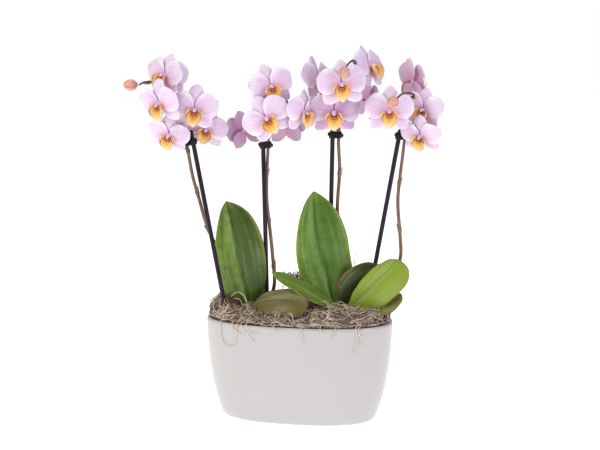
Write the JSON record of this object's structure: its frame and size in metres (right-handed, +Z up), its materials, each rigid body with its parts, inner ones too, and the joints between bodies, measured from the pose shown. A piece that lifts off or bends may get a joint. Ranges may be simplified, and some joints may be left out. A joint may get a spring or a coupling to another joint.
{
  "type": "potted orchid",
  "caption": "Small moth orchids in an oval glazed planter, with staked flower spikes, open blooms, buds, broad leaves and moss over the pots.",
  "frame": {"origin": "centre of the planter's flat underside", "axes": "+Z up out of the planter, X along the planter's long side, -Y out of its front"},
  "size_m": [0.3362, 0.1236, 0.4064],
  "materials": {
    "planter_glaze": "satin",
    "grow_pot_plastic": "matte",
    "bark": "matte",
    "moss": "matte",
    "plant_body": "matte",
    "stick": "satin",
    "clip": "satin",
    "stem": "satin",
    "leaf": "satin",
    "old_leaf": "satin",
    "bloom": "matte",
    "bud": "satin"
  },
  "bodies": {
    "root": {"planter": "planter_glaze", "grow_pot_left": "grow_pot_plastic", "bark_left": "bark", "plant_body_left": "plant_body", "grow_pot_right": "grow_pot_plastic", "bark_right": "bark", "plant_body_right": "plant_body", "moss": "moss", "leaf_left_tall": "leaf", "leaf_left_front": "old_leaf", "leaf_left_old": "old_leaf", "leaf_left_back": "leaf", "leaf_right_tall": "leaf", "leaf_right_reaching_left": "leaf", "leaf_right_behind": "leaf", "leaf_right_bright": "leaf", "leaf_right_low": "old_leaf", "support_stick_1": "stick", "stem_clip_1": "clip", "flower_spike_1": "stem", "bloom_1_1": "bloom", "bloom_1_2": "bloom", "bloom_1_3": "bloom", "bloom_1_4": "bloom", "bloom_1_5": "bloom", "bloom_1_6": "bloom", "bud_1": "bud", "support_stick_2": "stick", "stem_clip_2": "clip", "flower_spike_2": "stem", "bloom_2_1": "bloom", "bloom_2_2": "bloom", "bloom_2_3": "bloom", "bloom_2_4": "bloom", "bloom_2_5": "bloom", "support_stick_3": "stick", "stem_clip_3": "clip", "flower_spike_3": "stem", "bloom_3_1": "bloom", "bloom_3_2": "bloom", "bloom_3_3": "bloom", "bloom_3_4": "bloom", "bloom_3_5": "bloom", "bud_3": "bud", "support_stick_4": "stick", "stem_clip_4": "clip", "flower_spike_4": "stem", "bloom_4_1": "bloom", "bloom_4_2": "bloom", "bloom_4_3": "bloom", "bloom_4_4": "bloom", "bud_4": "bud"}
  },
  "joints": []
}
